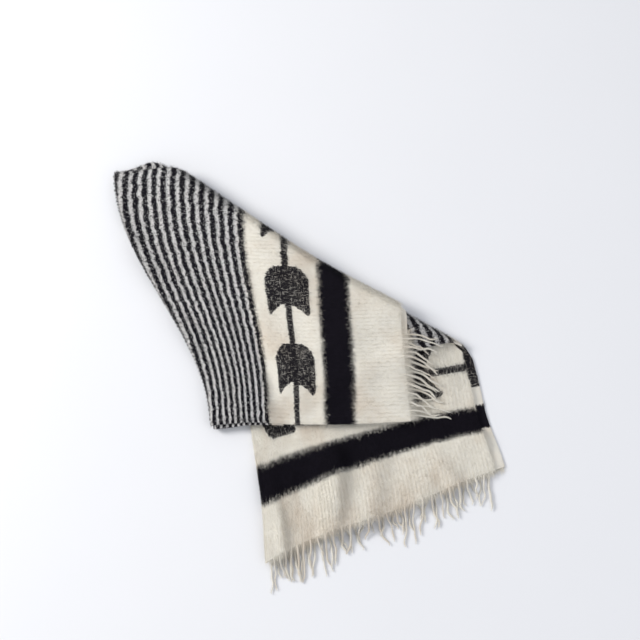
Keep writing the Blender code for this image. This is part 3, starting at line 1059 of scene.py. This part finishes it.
# %% Two plies round a line
RINGS_PER_TURN = 7
TWIST = 0.0110
PLY_OUT, PLY_RADIUS, PLY_SIDES = 0.25, 0.27, 5
THINNING, END_THINNING, END_LENGTH = 0.30, 0.35, 0.014


def frames_along(line):
    """The direction along a line at each of its points, and two directions across it."""
    along = np.gradient(line, axis=0)
    along /= np.linalg.norm(along, axis=1)[:, None]
    side = np.cross(along, (0, 0, 1.0))
    side /= np.linalg.norm(side, axis=1)[:, None]
    return along, side, np.cross(side, along)


def tube(line, radii, sides):
    """The points and faces of a closed tube along a line."""
    _, side, up = frames_along(line)
    angles = np.arange(sides)[:, None] * 2 * math.pi / sides
    out = side[:, None] * np.cos(angles) + up[:, None] * np.sin(angles)
    points = (line[:, None] + radii[:, None, None] * out).reshape(-1, 3)
    faces = []
    for ring in range(len(line) - 1):
        for k in range(sides):
            a, b = ring * sides + k, ring * sides + (k + 1) % sides
            faces.append((b, a, a + sides, b + sides))
    faces.append(tuple(range(sides)))
    faces.append(tuple(reversed(range(len(points) - sides, len(points)))))
    return points, faces


def twisted(line, number, thickness):
    """Two plies that wind round a line, as points and faces."""
    along = np.concatenate([[0], np.cumsum(np.linalg.norm(np.diff(line, axis=0), axis=1))])
    near_end = smooth((along - along[-1] + END_LENGTH) / END_LENGTH)
    taper = 1 - THINNING * along / along[-1] - END_THINNING * near_end
    _, side, up = frames_along(line)
    points, faces, base = [], [], 0
    for ply in (0, math.pi):
        angle = along / TWIST * 2 * math.pi + ply + number
        arm = thickness * PLY_OUT * taper
        middle = line + arm[:, None] * (side * np.cos(angle)[:, None] + up * np.sin(angle)[:, None])
        ply_points, ply_faces = tube(middle, thickness * PLY_RADIUS * taper, PLY_SIDES)
        points.append(ply_points)
        faces += [tuple(i + base for i in face) for face in ply_faces]
        base += len(ply_points)
    return np.concatenate(points), faces


# %% Fuzz on a strand
FUZZ, FUZZ_SHORTEST = 0.0085, 0.3
FUZZ_PER_STRAND = 70
FUZZ_LEAN = 1.2
FUZZ_ROOT, FUZZ_MIDDLE, FUZZ_TIP = 0.3, 0.7, 0.2
FUZZ_OFF_THE_FLOOR = 0.0003


def fuzz(line, thickness):
    """Loose fibres that stand off a strand, as points and faces."""
    count = FUZZ_PER_STRAND
    along, side, up = frames_along(line)
    at = rng.integers(1, len(line) - 1, count)
    angle = rng.uniform(0, math.pi, count)[:, None]
    out = side[at] * np.cos(angle) + up[at] * np.sin(angle)
    lean = along[at] * rng.uniform(-FUZZ_LEAN, FUZZ_LEAN, count)[:, None]
    length = rng.uniform(FUZZ_SHORTEST, 1.0, count)[:, None] * FUZZ
    root = line[at] + out * thickness * FUZZ_ROOT
    middle = root + (out * FUZZ_MIDDLE + lean) * length / 2
    tip = middle + (out * FUZZ_TIP + lean) * length / 2
    tip[:, 2] = np.maximum(tip[:, 2], FUZZ_OFF_THE_FLOOR)
    return ribbons(root, middle, tip, along[at] * FINE / 2)


# %% [markdown]
# The six runs of fringe are six pieces, one for each run of the solid. Each strand's points keep a flat
# place too, so the wool's clouds and flecks run down the yarn.

# %% The six runs


def fringe_piece(fringe):
    """One run of fringe as an object."""
    points, flats, faces, base = [], [], [], 0
    for number, y in enumerate(strand_places(fringe)):
        rings = int((strand_reach(number) + ROOT_INSIDE) / TWIST * RINGS_PER_TURN)
        line, start = strand_line(fringe, number, y, rings)
        thickness = strand_thickness(number)
        for made_points, made_faces in (twisted(line, number, thickness), fuzz(line, thickness)):
            points.append(made_points)
            flats.append(start + (made_points - made_points[0]))
            faces += [tuple(i + base for i in face) for face in made_faces]
            base += len(made_points)
    name = fringe.node + "_yarn"
    piece = woollen(name, np.concatenate(points), faces, np.concatenate(flats), wool_yarn)
    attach(piece, "root")
    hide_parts(fringe.node)
    return piece


yarns = [fringe_piece(fringe) for fringe in FRINGES]
print("strand points in all:", sum(len(piece.data.vertices) for piece in yarns))

# %% [markdown]
# ## Wisps at the open ends
#
# Short wool hangs out of the last rows of weave between the strands. The function that grew the pile makes
# these wisps too, with roots along the edge and tips below the cloth.

# %% Wisps between the strands
WISPS_PER_METRE = 4200
WISP_ROOM = 0.003
WISP_LONG, WISP_HIGH = 0.026, -0.0055


def wisp_roots():
    """Places along the open ends of the cloth, between the strands, and the way out from each end."""
    places, ways = [], []
    for fringe in FRINGES:
        if fringe.turned:
            continue
        count = int((fringe.high - fringe.low) * WISPS_PER_METRE)
        y = rng.uniform(fringe.low, fringe.high, count)
        inside = STRIP - rng.uniform(0, WISP_ROOM, count)
        x = inside if fringe.near else -LENGTH - inside
        places.append(uneven(np.column_stack([x, y, 0 * y]))[:, :2])
        ways.append(np.full(count, 0 if fringe.near else 1))
    return np.concatenate(places), np.concatenate(ways)


wisps, wisp_ways = wisp_roots()
pile.append(fibres("pile_ends", wisps, WISP_LONG, WISP_HIGH, COARSE, wisp_ways))
print("wisps:", len(wisps))

# %% [markdown]
# ## Declaring the pieces
#
# The cloth stands for the plain folded solid, and the pile goes wherever the cloth goes.

# %% What rides where
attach(cloth, "root")
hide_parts("blanket")
for piece in pile:
    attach(piece, "root")
print("pieces:", 1 + len(yarns) + len(pile))

# %% [markdown]
# ## Floor, light and camera
#
# A pale floor keeps the eye on the wool. Most of the light comes from one large soft panel at the left, so
# the folds and the pile cast short, soft shadows, and a weaker one from the right keeps the blacks open.

# %% Floor
FLOOR_SIZE = 12.0
FLOOR_SHADES = (0.80, 0.805, 0.825), (0.82, 0.825, 0.845)
FLOOR_BELOW = 0.0005


def floor_material():
    """A plain pale floor with the faintest clouds in it."""
    tree = Tree("pale_floor")
    node = tree.nodes.new("ShaderNodeTexCoord")
    clouds = tree.noise(node.outputs["Object"], scale=3.0, detail=3.0)
    tree.put([tree.shader.inputs["Base Color"]], tree.mix(clouds, *FLOOR_SHADES))
    set_sockets(tree.shader, {"Roughness": 0.7})
    return tree.material


bm = bmesh.new()
bmesh.ops.create_grid(bm, x_segments=1, y_segments=1, size=FLOOR_SIZE / 2)
floor_mesh = named_mesh("floor", bm)
floor_mesh.materials.append(floor_material())
floor = placed("floor", floor_mesh)
floor.location.z = -FLOOR_BELOW

# %% Lights
SKY = {"Color": (0.93, 0.95, 1.0, 1), "Strength": 0.65}


def aimed(thing, place, direction):
    """Puts a light or a camera at a place, looking in a direction."""
    thing.location = place
    thing.rotation_euler = direction.to_track_quat("-Z", "Y").to_euler()
    return thing


def panel(name, place, size, power, colour):
    """A large soft light at a place, turned to the blanket's middle."""
    light = bpy.data.lights.new(name, "AREA")
    light.shape = "DISK"
    light.size = size
    light.energy = power
    light.color = colour
    aimed(placed(name, light), place, -Vector(place))


panel("window_light", (-4.1, 1.2, 2.9), size=2.1, power=212, colour=(1.0, 0.985, 0.96))
panel("fill_light", (2.4, -1.2, 2.6), size=2.4, power=14, colour=(0.94, 0.96, 1.0))
world = bpy.data.worlds.new("studio")
world.use_nodes = True
set_sockets(world.node_tree.nodes["Background"], SKY)
bpy.context.scene.world = world
print("lights:", len(bpy.data.lights))

# %% Camera
LENS = 80
DISTANCE = 3.47
ELEVATION = math.radians(76)
AIM = Vector((0.037, 0.125, 0.02))

camera_data = bpy.data.cameras.new("camera")
camera_data.lens = LENS
back = Vector((0, -math.cos(ELEVATION), math.sin(ELEVATION)))
camera = aimed(placed("camera", camera_data), AIM + back * DISTANCE, -back)
bpy.context.scene.camera = camera
bpy.context.scene.view_settings.view_transform = "Standard"
print("the camera is at", [round(v, 2) for v in camera.location])
